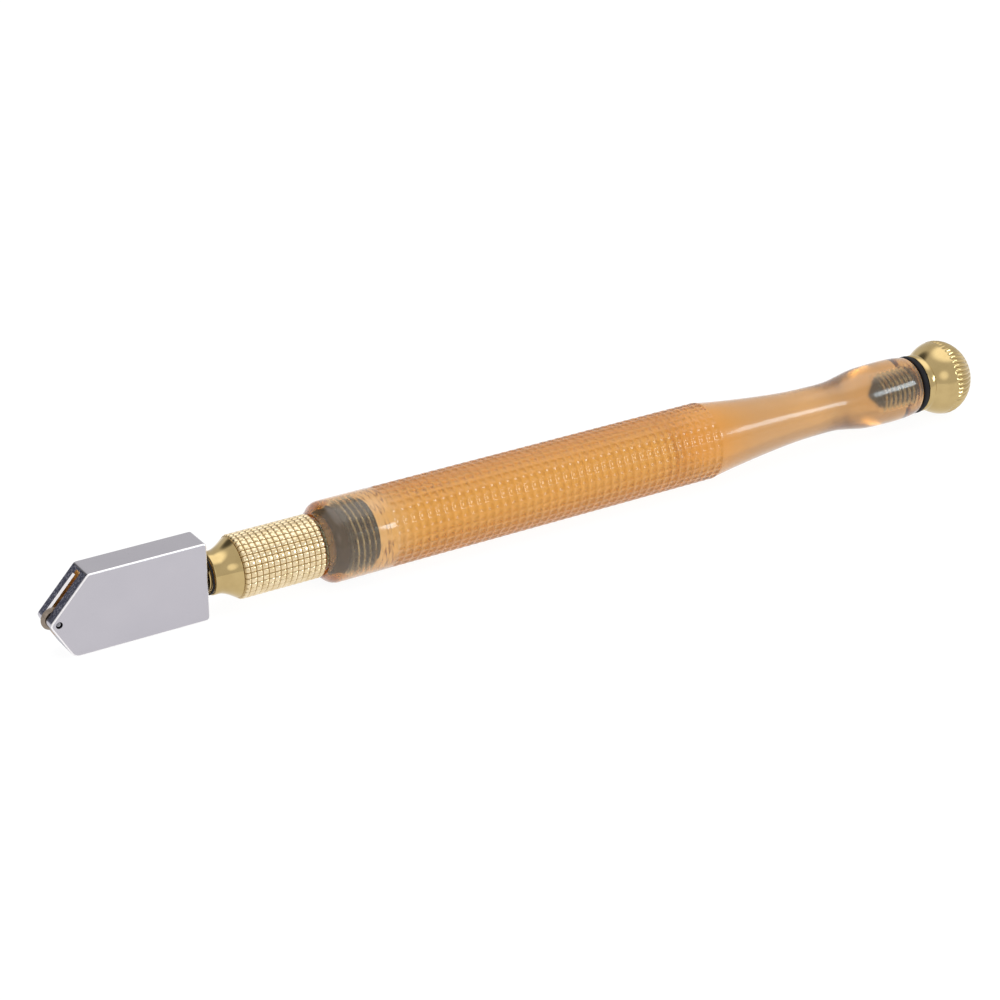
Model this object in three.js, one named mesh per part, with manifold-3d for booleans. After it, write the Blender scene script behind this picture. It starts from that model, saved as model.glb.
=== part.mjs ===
// Oil-fed glass cutter: a wheel head on a sprung, swivelling stem, a brass ferrule, and a hollow
// plastic handle closed by a ball cap. Millimetres, +Z up. Every station along the tool is counted
// from the point of the head, towards the ball; the group at the end moves the tool into its frame,
// which is centred along X, with +X towards the ball, and stands on Z = 0.
import * as THREE from "three";
import { mergeVertices } from "three/addons/utils/BufferGeometryUtils.js";
import Module from "manifold-3d";

const wasm = await Module();
wasm.setup();

// Facets round a turned piece: big ones, and small inner ones.
const FACETS = 40;
const FINE_FACETS = 24;
const CORD_FACETS = 6;
const WIRE_ARC_STEPS = 3;

// Air kept between a piece and the one that it sits in, and between faces that meet.
const GAP = 0.3;
const FACE_GAP = 0.25;

// Head: a flat bar with a pointed front. Corners are [station, height over the axis, radius].
const HEAD_END = 25.8;
const HEAD_HALF_HEIGHT = 6.5;
const HEAD_THICKNESS = 5.2;
const HEAD_BEVEL = 0.2;
const POINT_HEIGHT = -0.43;
const CHAMFER_TOP = 6.5;
const CHAMFER_BOTTOM = 3.5;
const HEAD_CORNERS = [
  [0, POINT_HEIGHT, 0.25],
  [CHAMFER_BOTTOM, -HEAD_HALF_HEIGHT, 1.0],
  [HEAD_END, -HEAD_HALF_HEIGHT, 0.8],
  [HEAD_END, HEAD_HALF_HEIGHT, 0.6],
  [CHAMFER_TOP, HEAD_HALF_HEIGHT, 0.4],
];

// Wheel, its axle, and the slot that is sawn into the upper chamfer.
const WHEEL_X = 1.45;
const WHEEL_Z = -0.5;
const WHEEL_RADIUS = 1.85;
const WHEEL_FLANK_RADIUS = 1.4;
const WHEEL_THICKNESS = 0.95;
const AXLE_RADIUS = 0.4;
const AXLE_HOLE_RADIUS = 0.55;
const AXLE_LENGTH = 4.6;
const SLOT_WIDTH = 1.3;
const SLOT_DEPTH = 3.4;
const SLOT_LEVEL_END = 2.0;
const SLOT_RUN_OUT = 8.9;

// Stem, drilled for oil, with its neck collar and its O-ring groove.
const STEM_FRONT = 18.1;
const STEM_SPIGOT_RADIUS = 1.45;
const COLLAR_RADIUS = 2.75;
const COLLAR_END = 27.7;
const PRESS_TRAVEL = 0.4;
const STEM_RADIUS = 1.45;
const STEM_SHOULDER = 33.15;
const STEM_THREAD_RADIUS = 1.0;
const STEM_END = 38.3;
const OIL_BORE_RADIUS = 0.6;
const OIL_BORE_END = 32.6;
const CROSS_HOLE_X = 32.0;
const CROSS_HOLE_RADIUS = 0.35;
const STEM_GROOVE = [29.9, 30.8];
const STEM_GROOVE_RADIUS = 1.05;
const STEM_O_RING = { radius: 1.4, cord: 0.22 };
const WICK_RADIUS = 0.32;
const WICK_FRONT = 3.75;
const WICK_END = 31.4;

// Ferrule: flared nose, knurled grip, threaded shank.
const NECK_RING = [26.25, 26.55];
const NECK_RING_RADIUS = 3.25;
const NOSE_FRONT = 26.75;
const NOSE_RADIUS = 3.4;
const NOSE_FLARE = [
  [28.1, 3.42],
  [29.0, 3.7],
  [30.0, 4.22],
  [31.0, 4.86],
];
const KNURL_START = 31.4;
const KNURL_RADIUS = 5.1;
const KNURL_CHAMFER = 0.35;
const FERRULE_SHOULDER = 44.95;
const SHANK_RADIUS = 4.0;
const SHANK_END = 54.5;
const SHANK_CHAMFER = 0.6;
const SEAT_X = 33.2;
const CHAMBER_RADIUS = 2.3;
const SHANK_GROOVE = [47.4, 49.2];
const SHANK_GROOVE_RADIUS = 2.75;
const SHANK_O_RING = { radius: 3.525, cord: 0.625 };

// Handle: rounded front, plain band, grip, waist, bulge.
const HANDLE_FRONT = 45.25;
const HANDLE_NOSE = [
  [HANDLE_FRONT, 4.85],
  [45.4, 5.22],
  [45.8, 5.66],
  [46.3, 6.13],
  [46.8, 6.45],
  [47.3, 6.56],
];
const BAND_RADIUS = 6.58;
const GRIP_RADIUS = 6.5;
const BAND_END = 56.4;
const GRIP_END = 118.9;
const WAIST_POINTS = [
  [GRIP_END, GRIP_RADIUS],
  [122.5, 5.97],
  [130.5, 5.02],
  [137.0, 4.44],
  [142.5, 4.26],
  [146.5, 4.31],
  [149.5, 4.75],
  [152.8, 5.27],
  [157.5, 5.45],
  [161.0, 5.38],
  [163.4, 5.05],
];
const WAIST_STEPS = 16;
const HANDLE_END = 163.4;

// Inside the handle: tapped mouth, drilled relief, a reservoir with a round end, and a tapped
// blind hole for the ball's shank. The waist between them is solid.
const TAPPED_END = 57.5;
const RELIEF_RADIUS = 3.45;
const RELIEF_END = 63.6;
const RESERVOIR_RADIUS = 3.0;
const RESERVOIR_STRAIGHT_END = 110.0;
const RESERVOIR_ROUND_STEPS = 5;

// End cap: threaded shank with a cone tip, flange, a shallow groove, and a ball that is a little
// flattened, more so at its back.
const CAP_THREAD_RADIUS = 2.1;
const CAP_TIP = 153.9;
const CAP_TIP_RADIUS = 0.25;
const CAP_CONE_END = 156.0;
const CAP_SEAL = [163.6, 164.7];
const CAP_SEAL_RADIUS = 5.1;
const FLANGE_FRONT = 164.9;
const FLANGE_RADIUS = 5.0;
const FLANGE_END = 166.1;
const BALL_FRONT = 166.7;
const BALL_X = 170.75;
const BALL_RADIUS = 6.55;
const BALL_FRONT_LENGTH = 6.2;
const BALL_BACK_LENGTH = 5.5;
const BALL_FULLNESS = 1.8;
const BALL_END = BALL_X + BALL_BACK_LENGTH;
const BALL_STEPS = 14;

// Valve, spring and retainer inside the ferrule.
const INNER_RADIUS = STEM_THREAD_RADIUS + GAP;
const VALVE_WASHER = [33.45, 34.65];
const VALVE_NUT = [34.9, 36.9];
const VALVE_NUT_RADIUS = 2.0;
const THRUST_WASHER = [37.15, 37.55];
const WASHER_RADIUS = CHAMBER_RADIUS - GAP;
const SPRING = [37.8, 45.3];
const SPRING_RADIUS = 1.75;
const SPRING_WIRE_RADIUS = 0.2;
const SPRING_TURNS = 6;
const SPRING_STEPS_PER_TURN = 12;
const RETAINER = [45.6, 49.6];
const FEED_HOLE_RADIUS = 0.7;
const DRIVER_SLOT = 0.7;

const brass = metal("#cdb26a", 0.25);
const chrome = metal("#b9b6c0", 0.35);
const hardMetal = metal("#6b6259", 0.3);
const steel = metal("#8d8f94", 0.3);
const rubber = plain("#17161a", 0.6);
const felt = plain("#d8cfbd", 0.95);
const amber = new THREE.MeshStandardMaterial({
  color: "#de9652",
  roughness: 0.25,
  transparent: true,
  opacity: 0.7,
});

function metal(color, roughness) {
  return new THREE.MeshStandardMaterial({ color, roughness, metalness: 1 });
}

function plain(color, roughness) {
  return new THREE.MeshStandardMaterial({ color, roughness, metalness: 0 });
}

// Revolves [station, radius] points about the X axis. The profile goes towards +X along the
// outside and comes back along the bore.
function turned(points, facets = FACETS) {
  const profile = points.map(([x, r]) => new THREE.Vector2(r, x));
  return new THREE.LatheGeometry(profile, facets).rotateZ(-Math.PI / 2);
}

// A solid rod along X.
function rod(start, end, radius, facets = FINE_FACETS) {
  return turned([[start, 0], [start, radius], [end, radius], [end, 0]], facets);
}

// A plain ring or washer along X.
function ring([start, end], inner, outer, facets = FINE_FACETS) {
  const corners = [[start, inner], [start, outer], [end, outer], [end, inner], [start, inner]];
  return turned(corners, facets);
}

// An O-ring in the middle of a groove.
function oRing([start, end], { radius, cord }) {
  const torus = new THREE.TorusGeometry(radius, cord, CORD_FACETS, FINE_FACETS);
  return torus.rotateY(Math.PI / 2).translate((start + end) / 2, 0, 0);
}

// A rod across the tool, along Y.
function crossRod(x, z, radius, length) {
  return new THREE.CylinderGeometry(radius, radius, length, FINE_FACETS).translate(x, 0, z);
}

// Extrudes an X-Z outline by a width centred on Y = 0.
function slab(shape, width, bevel = 0) {
  const options = {
    depth: width - 2 * bevel,
    curveSegments: 4,
    bevelEnabled: bevel > 0,
    bevelSize: bevel,
    bevelThickness: bevel,
    bevelOffset: -bevel,
    bevelSegments: 1,
  };
  const extruded = new THREE.ExtrudeGeometry(shape, options);
  return extruded.rotateX(Math.PI / 2).translate(0, width / 2 - bevel, 0);
}

function solid(geometry) {
  const bare = geometry.clone();
  bare.deleteAttribute("normal");
  bare.deleteAttribute("uv");
  const merged = mergeVertices(bare, 1e-4);
  return new wasm.Manifold(
    new wasm.Mesh({
      numProp: 3,
      vertProperties: merged.attributes.position.array,
      triVerts: new Uint32Array(merged.index.array),
    }),
  );
}

function cut(geometry, ...tools) {
  const mesh = tools.reduce((body, tool) => body.subtract(solid(tool)), solid(geometry)).getMesh();
  const result = new THREE.BufferGeometry();
  result.setAttribute("position", new THREE.BufferAttribute(mesh.vertProperties, 3));
  result.setIndex(new THREE.BufferAttribute(mesh.triVerts, 1));
  result.computeVertexNormals();
  return result;
}

// A closed outline through [x, z, radius] corners, each rounded by its radius.
function roundedOutline(corners) {
  const shape = new THREE.Shape();
  corners.forEach(([x, z, radius], i) => {
    const corner = new THREE.Vector2(x, z);
    const before = new THREE.Vector2(...corners.at(i - 1).slice(0, 2)).sub(corner).setLength(radius);
    const after = new THREE.Vector2(...corners[(i + 1) % corners.length].slice(0, 2));
    after.sub(corner).setLength(radius);
    before.add(corner);
    after.add(corner);
    if (i === 0) shape.moveTo(before.x, before.y);
    else shape.lineTo(before.x, before.y);
    shape.quadraticCurveTo(x, z, after.x, after.y);
  });
  shape.closePath();
  return shape;
}

// The slot left by a small saw: level along the chamfer near the point, then rising on an arc.
function slotCutter() {
  const along = new THREE.Vector2(CHAMFER_TOP, HEAD_HALF_HEIGHT - POINT_HEIGHT).normalize();
  const down = new THREE.Vector2(along.y, -along.x);
  const place = (u, depth) =>
    new THREE.Vector2(0, POINT_HEIGHT).addScaledVector(along, u).addScaledVector(down, depth);
  const run = SLOT_RUN_OUT - SLOT_LEVEL_END;
  const sawRadius = (run ** 2 + SLOT_DEPTH ** 2) / (2 * SLOT_DEPTH);
  const points = [place(-6, -2), place(-6, SLOT_DEPTH)];
  for (let i = 0; i <= 8; i++) {
    const u = SLOT_LEVEL_END + (run * i) / 8;
    const rise = sawRadius - Math.sqrt(sawRadius ** 2 - (u - SLOT_LEVEL_END) ** 2);
    points.push(place(u, SLOT_DEPTH - rise));
  }
  points.push(place(SLOT_RUN_OUT, -2));
  return slab(new THREE.Shape(points), SLOT_WIDTH);
}

function headBlock() {
  return cut(
    slab(roundedOutline(HEAD_CORNERS), HEAD_THICKNESS, HEAD_BEVEL),
    slotCutter(),
    crossRod(WHEEL_X, WHEEL_Z, AXLE_HOLE_RADIUS, HEAD_THICKNESS + 2),
    rod(WICK_FRONT + 0.4, STEM_FRONT, OIL_BORE_RADIUS),
    rod(STEM_FRONT - FACE_GAP, HEAD_END + 1, STEM_SPIGOT_RADIUS + GAP),
  );
}

function cuttingWheel() {
  const half = WHEEL_THICKNESS / 2;
  const profile = [
    [-half, AXLE_HOLE_RADIUS],
    [-half, WHEEL_FLANK_RADIUS],
    [0, WHEEL_RADIUS],
    [half, WHEEL_FLANK_RADIUS],
    [half, AXLE_HOLE_RADIUS],
    [-half, AXLE_HOLE_RADIUS],
  ];
  return turned(profile, FINE_FACETS).rotateZ(Math.PI / 2).translate(WHEEL_X, 0, WHEEL_Z);
}

function headStem() {
  const [grooveStart, grooveEnd] = STEM_GROOVE;
  const collarFront = HEAD_END + FACE_GAP;
  const turnedStem = turned(
    [
      [STEM_FRONT, OIL_BORE_RADIUS],
      [STEM_FRONT, STEM_SPIGOT_RADIUS],
      [collarFront, STEM_SPIGOT_RADIUS],
      [collarFront, COLLAR_RADIUS],
      [COLLAR_END, COLLAR_RADIUS],
      [COLLAR_END, STEM_RADIUS],
      [grooveStart, STEM_RADIUS],
      [grooveStart, STEM_GROOVE_RADIUS],
      [grooveEnd, STEM_GROOVE_RADIUS],
      [grooveEnd, STEM_RADIUS],
      [STEM_SHOULDER, STEM_RADIUS],
      [STEM_SHOULDER, STEM_THREAD_RADIUS],
      [STEM_END, STEM_THREAD_RADIUS],
      [STEM_END, 0],
      [OIL_BORE_END, 0],
      [OIL_BORE_END, OIL_BORE_RADIUS],
      [STEM_FRONT, OIL_BORE_RADIUS],
    ],
    FINE_FACETS,
  );
  const crossHole = new THREE.CylinderGeometry(CROSS_HOLE_RADIUS, CROSS_HOLE_RADIUS, 6, 12);
  return cut(turnedStem, crossHole.rotateX(Math.PI / 2).translate(CROSS_HOLE_X, 0, 0));
}

function ferrule() {
  const [grooveStart, grooveEnd] = SHANK_GROOVE;
  const noseBore = STEM_RADIUS + GAP;
  const mouthRadius = COLLAR_RADIUS + GAP;
  const mouthEnd = COLLAR_END + PRESS_TRAVEL + GAP;
  const knurlEnd = FERRULE_SHOULDER - KNURL_CHAMFER;
  return turned([
    [NOSE_FRONT, mouthRadius],
    [NOSE_FRONT, NOSE_RADIUS],
    ...NOSE_FLARE,
    [KNURL_START, KNURL_RADIUS],
    [knurlEnd, KNURL_RADIUS],
    [FERRULE_SHOULDER, KNURL_RADIUS - KNURL_CHAMFER],
    [FERRULE_SHOULDER, SHANK_RADIUS],
    [grooveStart, SHANK_RADIUS],
    [grooveStart, SHANK_GROOVE_RADIUS],
    [grooveEnd, SHANK_GROOVE_RADIUS],
    [grooveEnd, SHANK_RADIUS],
    [SHANK_END - SHANK_CHAMFER, SHANK_RADIUS],
    [SHANK_END, SHANK_RADIUS - SHANK_CHAMFER],
    [SHANK_END, CHAMBER_RADIUS],
    [SEAT_X, CHAMBER_RADIUS],
    [SEAT_X, noseBore],
    [mouthEnd, noseBore],
    [mouthEnd, mouthRadius],
    [NOSE_FRONT, mouthRadius],
  ]);
}

function valveNut() {
  const hexagon = rod(VALVE_NUT[0], VALVE_NUT[1], VALVE_NUT_RADIUS, 6);
  return cut(hexagon, rod(VALVE_NUT[0] - 1, VALVE_NUT[1] + 1, INNER_RADIUS));
}

class Helix extends THREE.Curve {
  getPoint(t) {
    const angle = 2 * Math.PI * SPRING_TURNS * t;
    const start = SPRING[0] + SPRING_WIRE_RADIUS;
    const run = SPRING[1] - SPRING[0] - 2 * SPRING_WIRE_RADIUS;
    const y = SPRING_RADIUS * Math.cos(angle);
    const z = SPRING_RADIUS * Math.sin(angle);
    return new THREE.Vector3(start + run * t, y, z);
  }
}

function returnSpring() {
  const section = new THREE.Shape();
  section.absarc(0, 0, SPRING_WIRE_RADIUS, 0, 2 * Math.PI, false);
  return new THREE.ExtrudeGeometry(section, {
    steps: SPRING_TURNS * SPRING_STEPS_PER_TURN,
    curveSegments: WIRE_ARC_STEPS,
    bevelEnabled: false,
    extrudePath: new Helix(),
  });
}

function springRetainer() {
  const plug = ring(RETAINER, FEED_HOLE_RADIUS, CHAMBER_RADIUS - GAP);
  const driverSlot = new THREE.BoxGeometry(2 * DRIVER_SLOT, 2 * CHAMBER_RADIUS, DRIVER_SLOT);
  return cut(plug, driverSlot.translate(RETAINER[1], 0, 0));
}

// The hollow of the handle, from its mouth to the round end of the reservoir.
function handleHollow() {
  const tappedRadius = SHANK_RADIUS + GAP;
  const roundEnd = [];
  for (let i = 0; i <= RESERVOIR_ROUND_STEPS; i++) {
    const angle = (Math.PI / 2) * (i / RESERVOIR_ROUND_STEPS);
    const x = RESERVOIR_STRAIGHT_END + RESERVOIR_RADIUS * Math.sin(angle);
    roundEnd.push([x, RESERVOIR_RADIUS * Math.cos(angle)]);
  }
  return turned([
    [HANDLE_FRONT - 1, 0],
    [HANDLE_FRONT - 1, tappedRadius],
    [TAPPED_END, tappedRadius],
    [TAPPED_END + 0.5, RELIEF_RADIUS],
    [RELIEF_END, RELIEF_RADIUS],
    [RELIEF_END + 0.4, RESERVOIR_RADIUS],
    ...roundEnd,
  ]);
}

function handleBody() {
  const waist = new THREE.SplineCurve(WAIST_POINTS.map((point) => new THREE.Vector2(...point)));
  const tailRadius = CAP_THREAD_RADIUS + GAP;
  const withTailHole = turned([
    [HANDLE_FRONT, 0],
    ...HANDLE_NOSE,
    [48.0, BAND_RADIUS],
    [BAND_END, BAND_RADIUS],
    [BAND_END + 0.3, GRIP_RADIUS],
    ...waist.getSpacedPoints(WAIST_STEPS).map((point) => [point.x, point.y]),
    [HANDLE_END, tailRadius],
    [CAP_CONE_END - FACE_GAP, tailRadius],
    [CAP_TIP - 3 * FACE_GAP, 0],
  ]);
  return cut(withTailHole, handleHollow());
}

function capSeal() {
  const [start, end] = CAP_SEAL;
  const inner = CAP_THREAD_RADIUS + GAP;
  const round = 0.25;
  return turned([
    [start, inner],
    [start, CAP_SEAL_RADIUS - round],
    [start + round, CAP_SEAL_RADIUS],
    [end - round, CAP_SEAL_RADIUS],
    [end, CAP_SEAL_RADIUS - round],
    [end, inner],
    [start, inner],
  ]);
}

// Radius of the ball at a station, a superellipse.
function ballRadius(x) {
  const length = x < BALL_X ? BALL_FRONT_LENGTH : BALL_BACK_LENGTH;
  const share = Math.min(1, Math.abs(x - BALL_X) / length);
  return BALL_RADIUS * (1 - share ** BALL_FULLNESS) ** (1 / BALL_FULLNESS);
}

function endCap() {
  const ball = [];
  for (let i = 0; i < BALL_STEPS; i++) {
    const x = BALL_FRONT + (BALL_END - BALL_FRONT) * Math.sin((Math.PI / 2) * (i / BALL_STEPS));
    ball.push([x, ballRadius(x)]);
  }
  return turned([
    [CAP_TIP, 0],
    [CAP_TIP, CAP_TIP_RADIUS],
    [CAP_CONE_END, CAP_THREAD_RADIUS],
    [FLANGE_FRONT, CAP_THREAD_RADIUS],
    [FLANGE_FRONT, FLANGE_RADIUS],
    [FLANGE_END, FLANGE_RADIUS],
    [FLANGE_END, ballRadius(BALL_FRONT)],
    ...ball,
    [BALL_END, 0],
  ]);
}

const pieces = {
  head_block: [headBlock(), chrome],
  cutting_wheel: [cuttingWheel(), hardMetal],
  wheel_axle: [crossRod(WHEEL_X, WHEEL_Z, AXLE_RADIUS, AXLE_LENGTH), steel],
  head_stem: [headStem(), brass],
  felt_wick: [rod(WICK_FRONT, WICK_END, WICK_RADIUS, 12), felt],
  stem_o_ring: [oRing(STEM_GROOVE, STEM_O_RING), rubber],
  valve_washer: [ring(VALVE_WASHER, INNER_RADIUS, WASHER_RADIUS), rubber],
  valve_nut: [valveNut(), brass],
  thrust_washer: [ring(THRUST_WASHER, INNER_RADIUS, WASHER_RADIUS), brass],
  return_spring: [returnSpring(), steel],
  spring_retainer: [springRetainer(), brass],
  neck_ring: [ring(NECK_RING, COLLAR_RADIUS + GAP, NECK_RING_RADIUS), rubber],
  ferrule: [ferrule(), brass],
  ferrule_o_ring: [oRing(SHANK_GROOVE, SHANK_O_RING), rubber],
  handle_body: [handleBody(), amber],
  cap_seal: [capSeal(), rubber],
  end_cap: [endCap(), brass],
};

const cutter = new THREE.Group();
for (const [name, [geometry, material]] of Object.entries(pieces)) {
  const piece = new THREE.Mesh(geometry, material);
  piece.name = name;
  cutter.add(piece);
}
const frontEnd = WHEEL_X - WHEEL_RADIUS;
cutter.position.set(-(frontEnd + BALL_END) / 2, 0, BAND_RADIUS);

export default cutter;
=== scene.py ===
"""Oil-fed glass cutter: the fine surfaces and the materials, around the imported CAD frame.

Shapes are written in millimetres. A station is a distance along the tool from the point of the
head, the same as in the CAD source, and an angle goes round the tool's axis from +Y towards +Z.
"""

import math

import bmesh
import bpy
import numpy as np
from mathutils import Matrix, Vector


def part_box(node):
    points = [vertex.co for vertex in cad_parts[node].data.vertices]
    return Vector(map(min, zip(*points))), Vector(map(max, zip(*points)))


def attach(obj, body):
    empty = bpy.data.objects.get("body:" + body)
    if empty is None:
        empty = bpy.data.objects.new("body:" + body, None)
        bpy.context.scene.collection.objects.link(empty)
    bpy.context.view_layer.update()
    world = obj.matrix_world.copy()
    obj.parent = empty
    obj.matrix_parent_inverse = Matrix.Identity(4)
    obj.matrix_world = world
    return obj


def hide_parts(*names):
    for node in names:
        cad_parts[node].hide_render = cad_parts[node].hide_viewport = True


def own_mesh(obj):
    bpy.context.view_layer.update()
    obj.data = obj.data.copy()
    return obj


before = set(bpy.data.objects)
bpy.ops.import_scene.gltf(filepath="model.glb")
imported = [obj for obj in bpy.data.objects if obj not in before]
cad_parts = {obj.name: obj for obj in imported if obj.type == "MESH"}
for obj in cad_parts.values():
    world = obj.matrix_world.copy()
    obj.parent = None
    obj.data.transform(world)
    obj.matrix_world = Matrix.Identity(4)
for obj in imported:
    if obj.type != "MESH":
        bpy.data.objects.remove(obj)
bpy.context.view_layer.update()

MM = 0.001
TURN = 2 * math.pi

# The ferrule's nose starts at this station, and the tool's axis is the ferrule's.
FERRULE_LOW, FERRULE_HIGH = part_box("ferrule")
NOSE_FRONT = 26.75
STATION_ZERO = FERRULE_LOW.x - NOSE_FRONT * MM
AXIS_Z = (FERRULE_LOW.z + FERRULE_HIGH.z) / 2


def stations(node):
    """The first and last station of a CAD node."""
    low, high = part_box(node)
    return (low.x - STATION_ZERO) / MM, (high.x - STATION_ZERO) / MM


def outer_radius(node):
    """The largest radius of a turned CAD node."""
    return (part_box(node)[1].z - AXIS_Z) / MM


# --- Meshes -------------------------------------------------------------------------------------


def frame_points(points):
    """Points in tool millimetres (station, y, height over the axis) become frame metres."""
    return np.asarray(points, float) * MM + np.array([STATION_ZERO, 0.0, AXIS_Z])


def new_piece(name, vertices, faces, sharp_angle=32):
    """A smooth-shaded mesh object, with creases where faces meet at more than sharp_angle degrees."""
    mesh = bpy.data.meshes.new(name)
    mesh.from_pydata(frame_points(vertices).tolist(), [], faces)
    shape = bmesh.new()
    shape.from_mesh(mesh)
    bmesh.ops.recalc_face_normals(shape, faces=shape.faces)
    shape.to_mesh(mesh)
    shape.free()
    mesh.shade_smooth()
    mesh.set_sharp_from_angle(angle=math.radians(sharp_angle))
    piece = bpy.data.objects.new(name, mesh)
    bpy.context.scene.collection.objects.link(piece)
    return piece


def angles(columns):
    """One angle for each column of a turned mesh."""
    return np.arange(columns) * TURN / columns


def rings_across(station, height, rings, columns):
    """Points of (y, radius) rings round an axis that lies across the tool."""
    return [
        (station + r * math.cos(a), y, height + r * math.sin(a))
        for y, r in rings
        for a in angles(columns)
    ]


def ring_faces(rings, columns, joined=False):
    """Quads between rings of points, and a cap on both ends unless the last ring joins the first."""
    faces = [
        [r * columns + c, r * columns + (c + 1) % columns,
         (r + 1) % rings * columns + (c + 1) % columns, (r + 1) % rings * columns + c]
        for r in range(rings if joined else rings - 1)
        for c in range(columns)
    ]
    if not joined:
        faces += [list(range(columns)), list(range((rings - 1) * columns, rings * columns))]
    return faces


def plain(*points):
    """A band of a turned surface that is the same all round, from (station, radius) points."""
    rows = np.array(points, float)
    return lambda columns: (
        np.repeat(rows[:, :1], columns, axis=1),
        np.repeat(rows[:, 1:], columns, axis=1),
    )


def relief(rows, radius_at):
    """A band whose radius depends on the station and the angle."""

    def band(columns):
        x = np.repeat(np.asarray(rows, float)[:, None], columns, axis=1)
        angle = np.repeat(angles(columns)[None, :], len(rows), axis=0)
        return x, radius_at(x, angle)

    return band


def turned(name, bands, columns, sharp_angle=32):
    """A turned mesh through its bands. A profile that doesn't start and end on the axis closes."""
    parts = [band(columns) for band in bands]
    x = np.concatenate([part[0] for part in parts])
    r = np.concatenate([part[1] for part in parts])
    angle = angles(columns)
    on_axis = [bool(np.allclose(r[row], 0)) for row in range(len(r))]
    vertices, index = [], []
    for row in range(len(r)):
        if on_axis[row]:
            index.append([len(vertices)] * columns)
            vertices.append((x[row, 0], 0.0, 0.0))
            continue
        index.append(list(range(len(vertices), len(vertices) + columns)))
        vertices += list(zip(x[row], r[row] * np.cos(angle), r[row] * np.sin(angle)))
    closed = not (on_axis[0] and on_axis[-1])
    faces = []
    for row in range(len(r) if closed else len(r) - 1):
        here, there = index[row], index[(row + 1) % len(r)]
        for column in range(columns):
            after = (column + 1) % columns
            corners = [here[column], here[after], there[after], there[column]]
            faces.append(list(dict.fromkeys(corners)))
    return new_piece(name, vertices, faces, sharp_angle)


def row_count(bands):
    """How many rows of points the bands have together."""
    return sum(len(band(1)[0]) for band in bands)


def paint_rows(piece, columns, main, *spans):
    """Gives a turned piece its main material, and others in (first row, last row, material) spans."""
    piece.data.materials.append(main)
    for first, last, material in spans:
        piece.data.materials.append(material)
        for face in piece.data.polygons[first * columns : last * columns]:
            face.material_index = len(piece.data.materials) - 1


def thread_rows(start, end, pitch, per_pitch=8):
    """Evenly spaced stations along a thread."""
    return np.linspace(start, end, int(round((end - start) / pitch * per_pitch)) + 1)


def thread(start, end, minor, major, pitch, run_in=(1.0, 1.0), per_pitch=8):
    """A band with a right-hand screw thread, fading in and out over run_in pitches."""
    root_flat, crest_flat = 0.12, 0.1

    def radius_at(x, angle):
        turn = (x / pitch - angle / TURN) % 1.0
        height = np.clip((np.abs(2 * turn - 1) - root_flat) / (1 - root_flat - crest_flat), 0, 1)
        fade_in = np.clip((x - min(start, end)) / (run_in[0] * pitch + 1e-6), 0, 1)
        fade_out = np.clip((max(start, end) - x) / (run_in[1] * pitch + 1e-6), 0, 1)
        return minor + (major - minor) * height * fade_in * fade_out

    rows = thread_rows(min(start, end), max(start, end), pitch, per_pitch)
    return relief(rows if end > start else rows[::-1], radius_at)


def arc(centre, radii, start, end, steps):
    """Points on an ellipse in the (station, radius) plane, between two angles in degrees."""
    turns = np.radians(np.linspace(start, end, steps + 1))
    return [(centre[0] + radii[0] * math.cos(a), centre[1] + radii[1] * math.sin(a)) for a in turns]


def cut(piece, *cutters):
    """Subtracts other objects from a piece and removes them."""
    for cutter in cutters:
        modifier = piece.modifiers.new("cut", "BOOLEAN")
        modifier.operation = "DIFFERENCE"
        modifier.solver = "EXACT"
        modifier.object = cutter
    apply_modifiers(piece)
    for cutter in cutters:
        bpy.data.objects.remove(cutter)
    return piece


def apply_modifiers(piece):
    """Replaces the mesh by what its modifiers make of it."""
    bpy.context.view_layer.update()
    evaluated = piece.evaluated_get(bpy.context.evaluated_depsgraph_get())
    mesh = bpy.data.meshes.new_from_object(evaluated)
    piece.modifiers.clear()
    piece.data = mesh


def cylinder_cutter(start, end, radius, columns=48):
    """A rod along the tool's axis, to cut with."""
    rod = [plain((start, 0), (start, radius), (end, radius), (end, 0))]
    return turned("cutter", rod, columns)


def cross_cutter(station, height, radius, length, columns=48):
    """A rod across the tool, along Y, to cut with."""
    ends = [(-length / 2, radius), (length / 2, radius)]
    vertices = rings_across(station, height, ends, columns)
    return new_piece("cutter", vertices, ring_faces(2, columns))


def prism_cutter(outline, right, left):
    """An outline of (station, height) points, extruded across the tool, to cut with."""
    vertices = [(x, y, z) for y in (right, left) for x, z in outline]
    return new_piece("cutter", vertices, ring_faces(2, len(outline)))


# --- Materials ----------------------------------------------------------------------------------


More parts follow.
